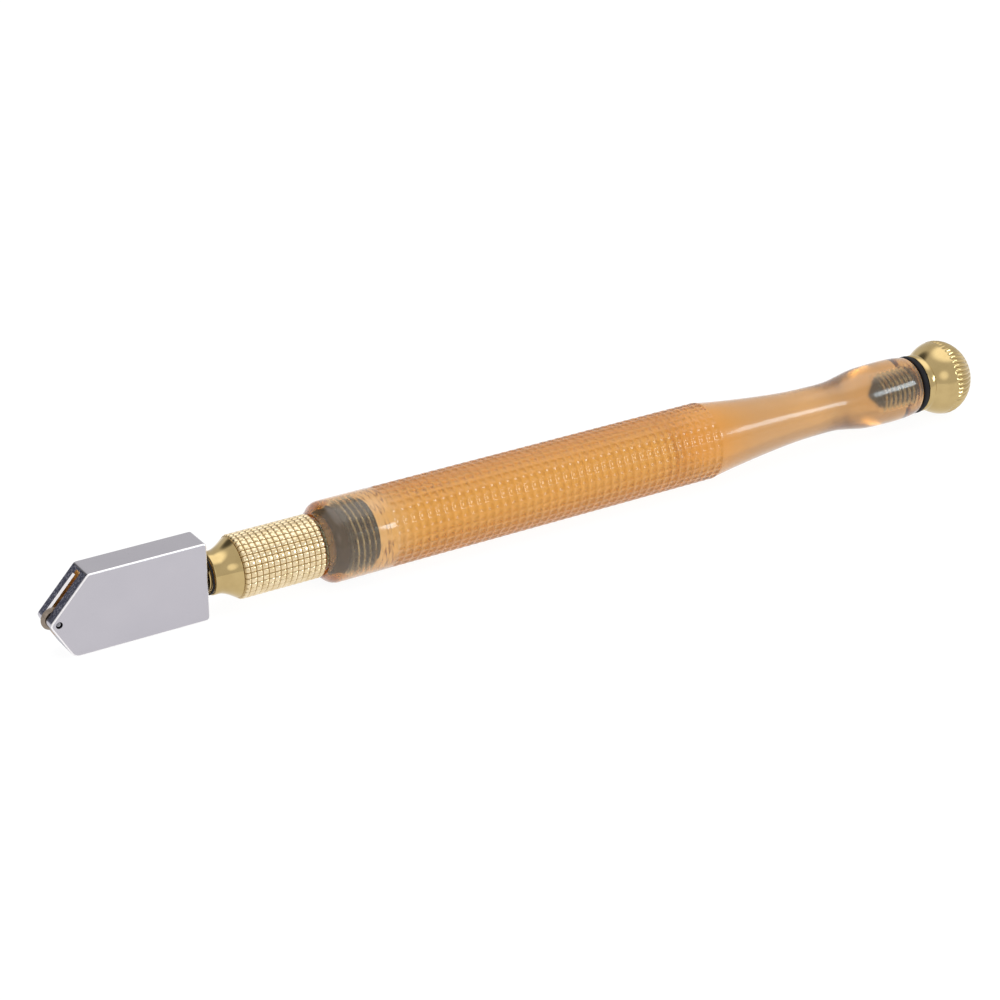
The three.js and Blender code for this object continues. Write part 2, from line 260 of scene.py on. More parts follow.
class Finish:
    """A node material around one Principled BSDF, with textures in the frame's own coordinates."""

    def __init__(self, name, color, roughness, metallic=0.0):
        self.material = bpy.data.materials.new(name)
        self.material.use_nodes = True
        self.tree = self.material.node_tree
        self.shader = self.tree.nodes["Principled BSDF"]
        self.output = self.tree.nodes["Material Output"]
        self.shader.inputs["Base Color"].default_value = (*color, 1)
        self.shader.inputs["Roughness"].default_value = roughness
        self.shader.inputs["Metallic"].default_value = metallic
        self.place = self.node("ShaderNodeTexCoord").outputs["Object"]
        self.normal = None

    def node(self, kind, **values):
        """A node with its attributes, or its inputs where the value's name is an input's."""
        made = self.tree.nodes.new(kind)
        for key, value in values.items():
            name = key.replace("_", " ").title()
            if name in made.inputs:
                made.inputs[name].default_value = value
            else:
                setattr(made, key, value)
        return made

    def link(self, output, target):
        """Feeds one node's output to an input."""
        self.tree.links.new(output, target)

    def noise(self, scale, stretch=(1, 1, 1), detail=2.0, roughness=0.5):
        """Noise of about scale features per metre, squeezed by stretch along each axis."""
        mapping = self.node("ShaderNodeMapping")
        mapping.inputs["Scale"].default_value = stretch
        self.link(self.place, mapping.inputs["Vector"])
        texture = self.node("ShaderNodeTexNoise", scale=scale, detail=detail, roughness=roughness)
        self.link(mapping.outputs["Vector"], texture.inputs["Vector"])
        return texture.outputs["Fac"]

    def axis_distance(self):
        """The distance from the tool's axis, in metres."""
        around = self.node("ShaderNodeVectorMath", operation="MULTIPLY_ADD")
        self.link(self.place, around.inputs[0])
        around.inputs[1].default_value = (0, 1, 1)
        around.inputs[2].default_value = (0, 0, -AXIS_Z)
        length = self.node("ShaderNodeVectorMath", operation="LENGTH")
        self.link(around.outputs["Vector"], length.inputs[0])
        return length.outputs["Value"]

    def along(self):
        """The place along the tool, in the frame's metres."""
        split = self.node("ShaderNodeSeparateXYZ")
        self.link(self.place, split.inputs["Vector"])
        return split.outputs["X"]

    def mix_value(self, factor, first, second):
        """A number between two, each a number or another node's output."""
        node = self.node("ShaderNodeMix", data_type="FLOAT")
        self.link(factor, node.inputs["Factor"])
        for socket, value in ((node.inputs[2], first), (node.inputs[3], second)):
            if isinstance(value, (int, float)):
                socket.default_value = value
            else:
                self.link(value, socket)
        return node.outputs[0]

    def span(self, start, full, fade, end, beyond, within):
        """One value within a span of stations, fading at both its ends to the one beyond it."""
        places = [STATION_ZERO + station * MM for station in (start, full, fade, end)]
        rise = self.ramp(self.along(), *places[:2], 0.0, 1.0)
        fall = self.ramp(self.along(), *places[2:], 1.0, 0.0)
        both = self.node("ShaderNodeMath", operation="MULTIPLY")
        self.link(rise, both.inputs[0])
        self.link(fall, both.inputs[1])
        return self.mix_value(both.outputs["Value"], beyond, within)

    def ramp(self, value, low, high, low_to, high_to):
        """value from low to high, mapped smoothly to low_to and high_to, and held beyond them."""
        node = self.node("ShaderNodeMapRange", interpolation_type="SMOOTHSTEP")
        self.link(value, node.inputs["Value"])
        limits = {"From Min": low, "From Max": high, "To Min": low_to, "To Max": high_to}
        for key, number in limits.items():
            node.inputs[key].default_value = number
        return node.outputs["Result"]

    def mix_color(self, factor, first, second):
        """A colour between two, each a colour or another node's output."""
        node = self.node("ShaderNodeMix", data_type="RGBA")
        self.link(factor, node.inputs["Factor"])
        for socket, color in ((node.inputs[6], first), (node.inputs[7], second)):
            if isinstance(color, tuple):
                socket.default_value = (*color, 1)
            else:
                self.link(color, socket)
        return node.outputs[2]

    def color(self, output):
        """Takes the base colour from a node's output."""
        self.link(output, self.shader.inputs["Base Color"])

    def roughness(self, output):
        """Takes the roughness from a node's output."""
        self.link(output, self.shader.inputs["Roughness"])

    def bump(self, height, depth, strength=1.0):
        """Adds a bump of a depth in metres to the ones before it."""
        node = self.node("ShaderNodeBump", strength=strength, distance=depth)
        self.link(height, node.inputs["Height"])
        if self.normal is not None:
            self.link(self.normal, node.inputs["Normal"])
        self.normal = node.outputs["Normal"]
        self.link(self.normal, self.shader.inputs["Normal"])


def make_chrome():
    """Satin chrome plating, with a fine grain and a few small pits."""
    finish = Finish("satin_chrome", (0.53, 0.505, 0.55), 0.15, metallic=1.0)
    grain = finish.noise(5200, stretch=(0.3, 1, 1), detail=3)
    cloud = finish.noise(220, detail=2)
    pits = finish.ramp(finish.noise(1500, detail=1), 0.2, 0.25, 1.0, 0.0)
    shade = finish.mix_color(cloud, (0.485, 0.468, 0.51), (0.52, 0.5, 0.54))
    finish.color(finish.mix_color(pits, shade, (0.42, 0.4, 0.44)))
    finish.roughness(finish.ramp(grain, 0.3, 0.7, 0.12, 0.2))
    finish.bump(grain, 8e-7)
    return finish.material


def make_chamfer_painted_shade():
    """The chamfers: painted shade, a dark colour that stands for the dark surroundings they reflect,
    with bright specks.
    """
    finish = Finish("chamfer_painted_shade", (0.13, 0.135, 0.18), 0.3, metallic=1.0)
    specks = finish.ramp(finish.noise(3400, detail=3), 0.4, 0.7, 0.0, 1.0)
    finish.color(finish.mix_color(specks, (0.085, 0.09, 0.14), (0.27, 0.27, 0.33)))
    finish.roughness(finish.ramp(specks, 0.0, 1.0, 0.22, 0.4))
    finish.bump(specks, 4e-6)
    return finish.material


def make_painted_edge_highlight(name, color):
    """Painted highlight: a bright colour for the head's rounded edges, which stands for the highlight on
    their polished bevels.
    """
    finish = Finish(name, color, 0.42, metallic=1.0)
    cloud = finish.noise(1200, detail=3)
    finish.color(finish.mix_color(cloud, tuple(0.9 * part for part in color), color))
    finish.roughness(finish.ramp(cloud, 0.3, 0.7, 0.36, 0.5))
    return finish.material


def make_brass(name, roughness, tarnish=0.5, ring_depth=1.5e-6):
    """Turned brass: fine tool rings along the axis and a cloudy tarnish."""
    finish = Finish(name, (0.52, 0.385, 0.175), roughness, metallic=1.0)
    rings = finish.noise(9000, stretch=(1, 0.02, 0.02), detail=2)
    cloud = finish.ramp(finish.noise(420, detail=4), 0.35, 0.7, 0.0, tarnish)
    finish.color(finish.mix_color(cloud, (0.55, 0.41, 0.19), (0.42, 0.3, 0.13)))
    finish.roughness(finish.ramp(cloud, 0.0, 1.0, roughness, roughness + 0.1))
    finish.bump(rings, ring_depth)
    return finish.material


def make_knurl_brass():
    """The ferrule's brass where it is knurled: pale on the pads as a painted highlight, darker in the
    grooves as painted shade.
    """
    finish = Finish("knurled_brass", (0.8, 0.65, 0.41), 0.27, metallic=1.0)
    height = finish.ramp(finish.axis_distance(), 4.85 * MM, 5.06 * MM, 0.0, 1.0)
    cloud = finish.ramp(finish.noise(700, detail=4), 0.35, 0.7, 0.0, 1.0)
    pads = finish.mix_color(cloud, (0.84, 0.69, 0.45), (0.74, 0.58, 0.34))
    # painted shade in the grooves and painted highlight on the pads, by the distance from the axis
    finish.color(finish.mix_color(height, (0.45, 0.32, 0.15), pads))
    finish.roughness(finish.ramp(cloud, 0.0, 1.0, 0.2, 0.28))
    finish.bump(finish.noise(6000, detail=2), 2e-6)
    return finish.material


def make_sawn_brass():
    """Bare brass where the saw and the drill cut it, streaked along the cut."""
    finish = Finish("sawn_brass", (0.8, 0.5, 0.2), 0.4, metallic=1.0)
    streaks = finish.noise(2600, stretch=(0.2, 1, 1), detail=3)
    finish.color(finish.mix_color(streaks, (0.7, 0.46, 0.19), (0.82, 0.6, 0.3)))
    finish.roughness(finish.ramp(streaks, 0.3, 0.7, 0.34, 0.5))
    finish.bump(streaks, 2e-6)
    return finish.material


def make_oily_thread_painted_light(name, root, crest):
    """Oily plated threads, tinted blue so that they look grey behind the amber plastic.

    They are painted bright on the crests as a painted highlight, and painted dark in the roots as
    painted shade.
    """
    finish = Finish(name, (0.2, 0.27, 0.36), 0.25, metallic=1.0)
    height = finish.ramp(finish.axis_distance(), root * MM, crest * MM, 0.0, 1.0)
    cloud = finish.noise(900, detail=3)
    # painted highlight on the crests, painted shade in the roots
    bright = finish.mix_color(cloud, (0.58, 0.73, 0.9), (0.78, 0.92, 1.0))
    finish.color(finish.mix_color(height, (0.05, 0.09, 0.16), bright))
    finish.roughness(finish.ramp(cloud, 0.3, 0.7, 0.2, 0.32))
    finish.bump(cloud, 1e-6)
    return finish.material


def make_rubber():
    """Black rubber with a faint bloom."""
    finish = Finish("black_rubber", (0.006, 0.006, 0.008), 0.6)
    finish.shader.inputs["Specular IOR Level"].default_value = 0.2
    cloud = finish.noise(900, detail=4)
    finish.color(finish.mix_color(cloud, (0.004, 0.004, 0.005), (0.011, 0.01, 0.013)))
    finish.roughness(finish.ramp(cloud, 0.3, 0.7, 0.5, 0.7))
    finish.bump(finish.noise(7000, detail=3), 4e-6)
    return finish.material


def make_steel():
    """Drawn spring steel, with streaks along the wire."""
    finish = Finish("spring_steel", (0.5, 0.5, 0.52), 0.28, metallic=1.0)
    streak = finish.noise(3000, detail=4)
    finish.color(finish.mix_color(streak, (0.4, 0.4, 0.42), (0.6, 0.6, 0.62)))
    finish.roughness(finish.ramp(streak, 0.3, 0.7, 0.2, 0.38))
    finish.bump(streak, 1.5e-6)
    return finish.material


def make_hard_metal():
    """Ground tungsten carbide, a little brown from oil."""
    finish = Finish("ground_carbide", (0.25, 0.2, 0.16), 0.28, metallic=1.0)
    grain = finish.noise(6000, stretch=(1, 0.1, 1), detail=3)
    finish.color(finish.mix_color(grain, (0.17, 0.14, 0.12), (0.36, 0.29, 0.23)))
    finish.roughness(finish.ramp(grain, 0.3, 0.7, 0.22, 0.4))
    finish.bump(grain, 1.5e-6)
    return finish.material


def make_felt():
    """Oil-soaked felt, matted fibres."""
    finish = Finish("wool_felt", (0.55, 0.49, 0.38), 0.9)
    fibres = finish.noise(5000, stretch=(0.3, 1, 1), detail=6, roughness=0.7)
    finish.color(finish.mix_color(fibres, (0.35, 0.3, 0.22), (0.68, 0.62, 0.5)))
    finish.shader.inputs["Sheen Weight"].default_value = 0.4
    finish.bump(fibres, 6e-5)
    return finish.material


def make_amber():
    """Amber plastic: a hazy skin with a painted tint for each zone, which stands for the light and shade
    that the walls, the hollows and the solid parts give the one plastic, and bores wet with oil.

    The oil fills the bores' surface, so they hardly refract.
    """
    finish = Finish("amber_plastic", (0.9, 0.55, 0.2), 0.1)
    finish.shader.inputs["Transmission Weight"].default_value = 0.94
    past_end = (170, 171)
    end_face, grip_zone, waist_zone = (162.7, 162.9), (54, 62), (118, 130)
    bore_limit, skin_limit = 4.21 * MM, 4.25 * MM
    oiled_ior, plastic_ior = 1.04, 1.5
    outside = finish.ramp(finish.axis_distance(), bore_limit, skin_limit, 0.0, 1.0)
    skin = finish.mix_value(finish.span(*end_face, *past_end, 0.0, 1.0), outside, 1.0)
    finish.link(finish.mix_value(skin, oiled_ior, plastic_ior), finish.shader.inputs["IOR"])
    cloud = finish.noise(260, detail=3)
    # Painted light: each zone's tint stands for how the wall's thickness, the hollows and the metal
    # inside light and shade the one plastic.
    front = finish.mix_color(cloud, (0.84, 0.58, 0.34), (0.9, 0.65, 0.42))
    grip_painted_tint = finish.mix_color(cloud, (0.92, 0.49, 0.07), (0.97, 0.56, 0.12))
    waist_painted_tint = finish.mix_color(cloud, (0.71, 0.45, 0.23), (0.77, 0.52, 0.3))
    hazy = finish.mix_color(finish.span(*grip_zone, *past_end, 0.0, 1.0), front, grip_painted_tint)
    hazy = finish.mix_color(finish.span(*waist_zone, *past_end, 0.0, 1.0), hazy, waist_painted_tint)
    finish.color(finish.mix_color(skin, (0.97, 0.94, 0.88), hazy))
    haze = finish.span(55.5, 58, 150, 158, 0.1, 0.26)
    finish.roughness(finish.mix_value(skin, 0.04, haze))
    gloss = finish.span(110, 124, 150, 156, 0.35, 0.5)
    finish.link(finish.mix_value(skin, 0.0, gloss), finish.shader.inputs["Coat Weight"])
    finish.shader.inputs["Coat Roughness"].default_value = 0.07
    finish.bump(finish.noise(520, stretch=(0.5, 1, 1), detail=2), 6e-6)
    volume = finish.node("ShaderNodeVolumeAbsorption")
    volume.inputs["Color"].default_value = (0.85, 0.62, 0.05, 1)
    volume.inputs["Density"].default_value = 110.0
    finish.link(volume.outputs["Volume"], finish.output.inputs["Volume"])
    return finish.material


def make_floor():
    """A plain white light table, with a very faint unevenness."""
    finish = Finish("pale_floor", (0.12, 0.12, 0.12), 0.8)
    cloud = finish.noise(6, detail=2)
    finish.color(finish.mix_color(cloud, (0.118, 0.118, 0.118), (0.122, 0.122, 0.122)))
    finish.shader.inputs["Specular IOR Level"].default_value = 0.0
    finish.shader.inputs["Emission Color"].default_value = (1, 1, 1, 1)
    finish.shader.inputs["Emission Strength"].default_value = 0.93
    return finish.material


CHROME = make_chrome()
BRASS = make_brass("turned_brass", 0.07, tarnish=0.4, ring_depth=6e-7)
BALL_BRASS = make_brass("polished_brass", 0.14, tarnish=0.35)
CUT_BRASS = make_sawn_brass()
# painted shade on the head's chamfers
CHAMFER_SHADE = make_chamfer_painted_shade()
# painted highlight on the head's rounded edges
EDGE_HIGHLIGHT = make_painted_edge_highlight("painted_edge_highlight", (0.97, 0.94, 0.95))
KNURL_BRASS = make_knurl_brass()
# threads with a painted highlight on the crests and painted shade in the roots
SHANK_STEEL = make_oily_thread_painted_light("oily_shank_painted_light", 3.6, 3.94)
SCREW_STEEL = make_oily_thread_painted_light("oily_screw_painted_light", 1.6, 1.9)
RUBBER = make_rubber()
STEEL = make_steel()
HARD_METAL = make_hard_metal()
FELT = make_felt()
AMBER = make_amber()


def fit(piece, material, body, node):
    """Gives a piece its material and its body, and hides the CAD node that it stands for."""
    if not piece.data.materials:
        piece.data.materials.append(material)
    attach(piece, body)
    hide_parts(node)
    return piece


# --- Head ---------------------------------------------------------------------------------------

HEAD_HALF_HEIGHT = 6.5
HEAD_HALF_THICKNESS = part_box("head_block")[1].y / MM
HEAD_END = stations("head_block")[1]
HEAD_ROUND = 0.3
POINT_HEIGHT = -0.43
CHAMFER_TOP = 6.5
CHAMFER_BOTTOM = 3.5
HEAD_CORNERS = [
    (0.0, POINT_HEIGHT, 0.6),
    (CHAMFER_BOTTOM, -HEAD_HALF_HEIGHT, 1.0),
    (HEAD_END, -HEAD_HALF_HEIGHT, 0.8),
    (HEAD_END, HEAD_HALF_HEIGHT, 0.6),
    (CHAMFER_TOP, HEAD_HALF_HEIGHT, 0.4),
]
WHEEL = (1.45, -0.5)
WHEEL_RADIUS = 1.85
WHEEL_HALF_WIDTH = 0.475
AXLE_RADIUS = 0.4
AXLE_HOLE_RADIUS = 0.55
AXLE_HALF_LENGTH = 2.3
SLOT_WIDTH = 1.3
SLOT_DEPTH = 3.4
SLOT_LEVEL_END = 2.0
SLOT_RUN_OUT = 8.9
SLOT_BEVEL = 0.3
SLOT_BEVEL_END = SLOT_RUN_OUT - 0.7
CLEAR_OF_POINT = 6
CLEAR_OF_CHAMFER = 2
STEM_FRONT, STEM_END = stations("head_stem")
STEM_BORE_LIMIT = 1.8


def rounded_outline(corners, steps=6):
    """A closed outline through (x, z, radius) corners, each rounded by its radius."""
    points = []
    for i, (x, z, radius) in enumerate(corners):
        corner = Vector((x, z))
        before = (Vector(corners[i - 1][:2]) - corner).normalized() * radius
        after = (Vector(corners[(i + 1) % len(corners)][:2]) - corner).normalized() * radius
        for step in range(steps + 1):
            t = step / steps
            points.append(corner + before * (1 - t) ** 2 + after * t**2)
    return points


def inset(outline, distance):
    """The outline moved inwards."""
    count = len(outline)
    moved = []
    for i, point in enumerate(outline):
        along = (outline[(i + 1) % count] - outline[i - 1]).normalized()
        moved.append(point + Vector((-along.y, along.x)) * distance)
    return moved


def slab(name, outline, half_width, edge_round, steps=5):
    """An outline extruded across the tool, with rounded edges."""
    rings = []
    for side in (-1, 1):
        for step in range(steps + 1):
            angle = math.pi / 2 * (step if side < 0 else steps - step) / steps
            ring = inset(outline, edge_round * (1 - math.sin(angle)))
            y = side * (half_width - edge_round * (1 - math.cos(angle)))
            rings.append([(point.x, y, point.y) for point in ring])
    vertices = [point for ring in rings for point in ring]
    return new_piece(name, vertices, ring_faces(len(rings), len(outline)))


def on_chamfer(along, depth):
    """A (station, height) point, from a distance up the chamfer and a depth under it."""
    up = Vector((CHAMFER_TOP, HEAD_HALF_HEIGHT - POINT_HEIGHT)).normalized()
    down = Vector((up.y, -up.x))
    return tuple(Vector((0, POINT_HEIGHT)) + up * along + down * depth)


def slot_outline():
    """The saw's path: level along the chamfer near the point, then rising on an arc."""
    run = SLOT_RUN_OUT - SLOT_LEVEL_END
    saw_radius = (run**2 + SLOT_DEPTH**2) / (2 * SLOT_DEPTH)
    before = -CLEAR_OF_POINT
    points = [on_chamfer(before, -CLEAR_OF_CHAMFER), on_chamfer(before, SLOT_DEPTH)]
    for step in range(25):
        along = SLOT_LEVEL_END + run * step / 24
        rise = saw_radius - math.sqrt(saw_radius**2 - (along - SLOT_LEVEL_END) ** 2)
        points.append(on_chamfer(along, SLOT_DEPTH - rise))
    return points + [on_chamfer(SLOT_RUN_OUT, -CLEAR_OF_CHAMFER)]


def bevel_cutter():
    """A prism along the chamfer, to bevel one edge of the slot with."""
    edge, size = SLOT_WIDTH / 2, SLOT_BEVEL
    section = [(0, -1), (0, size), (edge, size), (edge + size, 0), (edge + size + 1, -1)]
    vertices = []
    for along in (-CLEAR_OF_POINT, SLOT_BEVEL_END):
        for y, depth in section:
            x, z = on_chamfer(along, depth)
            vertices.append((x, y, z))
    return new_piece("cutter", vertices, ring_faces(2, len(section)))


def paint_head(piece):
    """Plating outside, painted shade on the chamfers and a painted highlight on the rounded edges; bare
    brass inside.
    """
    for material in (CHROME, CUT_BRASS, CHAMFER_SHADE, EDGE_HIGHLIGHT):
        piece.data.materials.append(material)
    cut_brass, ground, highlit_edge = 1, 2, 3
    chamfers = [
        Vector((POINT_HEIGHT - HEAD_HALF_HEIGHT, 0, CHAMFER_TOP)).normalized(),
        Vector((-HEAD_HALF_HEIGHT - POINT_HEIGHT, 0, -CHAMFER_BOTTOM)).normalized(),
    ]
    for face in piece.data.polygons:
        corners = [piece.data.vertices[index].co for index in face.vertices]
        across = [corner.y / MM for corner in corners]
        in_slot = all(abs(y) < SLOT_WIDTH / 2 + 0.01 for y in across)
        from_axis = [math.hypot(corner.y, corner.z - AXIS_Z) / MM for corner in corners]
        in_bore = all(distance < STEM_BORE_LIMIT for distance in from_axis)
        if in_slot or in_bore:
            face.material_index = cut_brass
        elif 0.2 < abs(face.normal.y) < 0.97:
            # The rounded edges: painted highlight.
            face.material_index = highlit_edge
        elif any(face.normal.dot(chamfer) > 0.99 for chamfer in chamfers):
            # The chamfers: painted shade.
            face.material_index = ground


def make_head_block():
    """The flat head: sawn for the wheel, and drilled for its axle, the stem and the wick."""
    head = slab("plated_head", rounded_outline(HEAD_CORNERS), HEAD_HALF_THICKNESS, HEAD_ROUND)
    cut(
        head,
        prism_cutter(slot_outline(), -SLOT_WIDTH / 2, SLOT_WIDTH / 2),
        bevel_cutter(),
        cross_cutter(*WHEEL, AXLE_HOLE_RADIUS, 8),
        cylinder_cutter(4.15, STEM_FRONT + 0.1, 0.6),
        cylinder_cutter(STEM_FRONT - 0.25, HEAD_END + 1, 1.75),
    )
    head.data.materials.clear()
    paint_head(head)
    head.data.set_sharp_from_angle(angle=math.radians(32))
    weigh = head.modifiers.new("weigh", "WEIGHTED_NORMAL")
    weigh.keep_sharp = True
    apply_modifiers(head)
    return fit(head, CHROME, "head", "head_block")


def make_wheel():
    """The scoring wheel: a V edge, ground flanks and a small hub face."""
    half = WHEEL_HALF_WIDTH
    profile = [
        (-half, AXLE_HOLE_RADIUS), (-half, 1.32), (-half + 0.05, 1.4), (-0.03, WHEEL_RADIUS - 0.03),
        (0, WHEEL_RADIUS - 0.005), (0.03, WHEEL_RADIUS - 0.03), (half - 0.05, 1.4), (half, 1.32),
        (half, AXLE_HOLE_RADIUS),
    ]
    columns = 96
    vertices = rings_across(*WHEEL, profile, columns)
    faces = ring_faces(len(profile), columns, joined=True)
    wheel = new_piece("scoring_wheel", vertices, faces, sharp_angle=20)
    return fit(wheel, HARD_METAL, "wheel", "cutting_wheel")


def make_axle():
    """The wheel's pin, with chamfered edges and a centre mark in each end."""
    columns, chamfer = 40, 0.08
    half = [
        (AXLE_HALF_LENGTH - 0.45, 0.04), (AXLE_HALF_LENGTH - 0.03, AXLE_RADIUS - 0.12),
        (AXLE_HALF_LENGTH, AXLE_RADIUS - chamfer), (AXLE_HALF_LENGTH - chamfer, AXLE_RADIUS),
    ]
    rings = [(-y, r) for y, r in half] + half[::-1]
    vertices = rings_across(*WHEEL, rings, columns)
    axle = new_piece("axle_pin", vertices, ring_faces(len(rings), columns))
    return fit(axle, STEEL, "head", "wheel_axle")


# --- Stem and valve -----------------------------------------------------------------------------

COLLAR_RADIUS = outer_radius("head_stem")
COLLAR_END = 27.7
STEM_RADIUS = 1.45
STEM_BORE = 0.6
STEM_SHOULDER = 33.15
STEM_THREAD = (0.72, 0.98)
STEM_PITCH = 0.4
STEM_GROOVE = (29.9, 30.8)
STEM_GROOVE_RADIUS = 1.05
CROSS_HOLE = 32.0
SMALL_COLUMNS = 72


def make_stem():
    """The stem, with its collar, seal groove, thread, bore and cross hole."""
    front = HEAD_END + 0.25
    bevel = 0.12
    groove_start, groove_end = STEM_GROOVE
    stem = turned(
        "swivel_stem",
        [
            plain(
                (STEM_FRONT, STEM_BORE), (STEM_FRONT, STEM_RADIUS - bevel),
                (STEM_FRONT + bevel, STEM_RADIUS),
                (front, STEM_RADIUS), (front, COLLAR_RADIUS - bevel), (front + bevel, COLLAR_RADIUS),
                (26.3, COLLAR_RADIUS), (26.38, COLLAR_RADIUS - 0.1), (26.46, COLLAR_RADIUS),
                (COLLAR_END - bevel, COLLAR_RADIUS), (COLLAR_END, COLLAR_RADIUS - bevel),
                (COLLAR_END, STEM_RADIUS),
                (groove_start, STEM_RADIUS), (groove_start, STEM_GROOVE_RADIUS),
                (groove_end, STEM_GROOVE_RADIUS), (groove_end, STEM_RADIUS),
                (STEM_SHOULDER, STEM_RADIUS), (STEM_SHOULDER, STEM_THREAD[0]),
            ),
            thread(STEM_SHOULDER + 0.05, STEM_END - 0.1, *STEM_THREAD, STEM_PITCH),
            plain(
                (STEM_END, STEM_THREAD[0] - 0.05), (STEM_END, 0.3), (32.6, 0.3), (32.6, STEM_BORE),
                (STEM_FRONT, STEM_BORE),
            ),
        ],
        SMALL_COLUMNS,
    )
    cut(stem, cross_cutter(CROSS_HOLE, 0, 0.35, 6, columns=24))
    return fit(stem, BRASS, "head", "head_stem")


def ring_piece(name, node, material, body, inner, outer, bevel, columns=SMALL_COLUMNS):
    """A flat ring with rounded edges, as long as its CAD node."""
    start, end = stations(node)
    profile = [(start, inner + bevel), (start, outer - bevel)]
    profile += arc((start + bevel, outer - bevel), (bevel, bevel), 165, 90, 3)
    profile += arc((end - bevel, outer - bevel), (bevel, bevel), 90, 15, 3)
    profile += [(end, outer - bevel), (end, inner + bevel)]
    profile += arc((end - bevel, inner + bevel), (bevel, bevel), -15, -90, 3)
    profile += arc((start + bevel, inner + bevel), (bevel, bevel), -90, -165, 3)
    ring = turned(name, [plain(*profile)], columns)
    return fit(ring, material, body, node)


def o_ring(name, node, body, radius, cord, columns=96):
    """A round-section seal in the middle of its CAD node."""
    start, end = stations(node)
    section = arc(((start + end) / 2, radius), (cord, cord), 0, 345, 23)
    ring = turned(name, [plain(*section)], columns, sharp_angle=80)
    return fit(ring, RUBBER, body, node)


def make_valve_nut():
    """A chamfered hexagon nut."""
    start, end = stations("valve_nut")
    corner = outer_radius("valve_nut")
    flat = corner * math.cos(math.pi / 6)

    def hexagon(x, angle):
        turn = (angle + math.pi / 6) % (math.pi / 3) - math.pi / 6
        chamfer = flat - 0.05 + 2.0 * np.minimum(x - start, end - x)
        return np.minimum(flat / np.cos(turn), chamfer)

    rows = [start, start + 0.05, start + 0.1, start + 0.16, (start + end) / 2]
    rows += [start + end - row for row in rows[-2::-1]]
    tapped = (STEM_THREAD[0] + 0.07, STEM_THREAD[1] + 0.07)
    nut = turned(
        "hex_nut",
        [
            plain((start, 1.15)),
            relief(rows, hexagon),
            plain((end, 1.15)),
            thread(end - 0.1, start + 0.1, *tapped, STEM_PITCH, (0.5, 0.5)),
        ],
        96,
    )
    return fit(nut, BRASS, "head", "valve_nut")


def make_wick():
    """The felt wick: a lumpy strand."""
    start, end = stations("felt_wick")
    radius = outer_radius("felt_wick")

    def lumps(x, angle):
        wave = np.sin(2.1 * x + 3 * angle) + np.sin(3.7 * x - 2 * angle) + np.sin(7.3 * x + 5 * angle)
        return radius * (0.92 + 0.025 * wave)

    rows = np.linspace(start + 0.05, end - 0.05, 150)
    wick = turned("oil_wick", [plain((start, 0)), relief(rows, lumps), plain((end, 0))], 18, 60)
    return fit(wick, FELT, "head", "felt_wick")


SPRING_RADIUS = 1.75
SPRING_WIRE = 0.2
SPRING_TURNS = 6


def make_spring():
    """A compression spring whose end turns lie close."""
    start, end = stations("return_spring")
    steps, section = SPRING_TURNS * 48, 14
    vertices = []
    for step in range(steps + 1):
        share = step / steps
        turn = SPRING_TURNS * share
        ends = np.clip([turn, SPRING_TURNS - turn], 0, 1)
        closed_turn = 2.2 * SPRING_WIRE
        free = end - start - 2 * SPRING_WIRE - 2 * closed_turn
        middle = np.clip((turn - 1) / (SPRING_TURNS - 2), 0, 1)
        x = start + SPRING_WIRE + closed_turn * (ends[0] + 1 - ends[1]) + free * middle
        angle = TURN * turn
        for around in angles(section):
            r = SPRING_RADIUS + SPRING_WIRE * math.cos(around)
            dx = SPRING_WIRE * math.sin(around)
            vertices.append((x + dx, r * math.cos(angle), r * math.sin(angle)))
    faces = ring_faces(steps + 1, section)
    spring = new_piece("compression_spring", vertices, faces, sharp_angle=50)
    fit(spring, STEEL, "ferrule", "return_spring")
    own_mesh(spring)
    return spring


def make_retainer():
    """A threaded plug with a feed hole and a screwdriver slot."""
    start, end = stations("spring_retainer")
    outer = outer_radius("spring_retainer")
    hole, bevel, pitch = 0.7, 0.25, 0.5
    plug = turned(
        "slotted_plug",
        [
            plain((start, hole), (start, outer - bevel)),
            thread(start + 0.1, end - 0.1, outer - 0.28, outer - 0.01, pitch, (0.6, 0.6)),
            plain((end, outer - bevel), (end, hole)),
        ],
        SMALL_COLUMNS,
    )
    depth, half = 0.7, 0.35
    outline = [(end - depth, -half), (end + 1, -half), (end + 1, half), (end - depth, half)]
    cut(plug, prism_cutter(outline, -outer - 1, outer + 1))
    return fit(plug, BRASS, "ferrule", "spring_retainer")


# --- Ferrule ------------------------------------------------------------------------------------

NOSE = [
    (NOSE_FRONT, 3.26), (NOSE_FRONT + 0.05, 3.35), (NOSE_FRONT + 0.15, 3.4), (27.6, 3.41), (28.1, 3.43),
    (28.5, 3.52), (29.0, 3.7), (29.5, 3.93), (30.0, 4.22), (30.4, 4.47), (30.7, 4.68), (30.8, 4.74),
]
KNURL_START = 30.85
KNURL_PITCH = 1.005
KNURL_COLUMNS = 34
KNURL_DEPTH = 0.24
KNURL_RADIUS = outer_radius("ferrule")
KNURL_ROWS = 14
COLUMNS_PER_PAD = 8
SHOULDER = 44.95
SHANK_RADIUS = 3.98
SHANK_END = stations("ferrule")[1]
SHANK_GROOVE = (47.4, 49.2)
SHANK_GROOVE_RADIUS = 2.75
SHANK_THREAD = (3.4, 3.97)
SHANK_PITCH = 1.0
SEAT = 33.2
CHAMBER_RADIUS = 2.3
NOSE_BORE = 1.75
MOUTH_RADIUS = 2.92


def pillow(share, flat, power):
    """A domed pad over -0.5 to 0.5, with steep flanks: 1 in the middle, 0 in the groove."""
    return (1 - np.clip(np.abs(share) / flat, 0, 1) ** power) ** 0.5


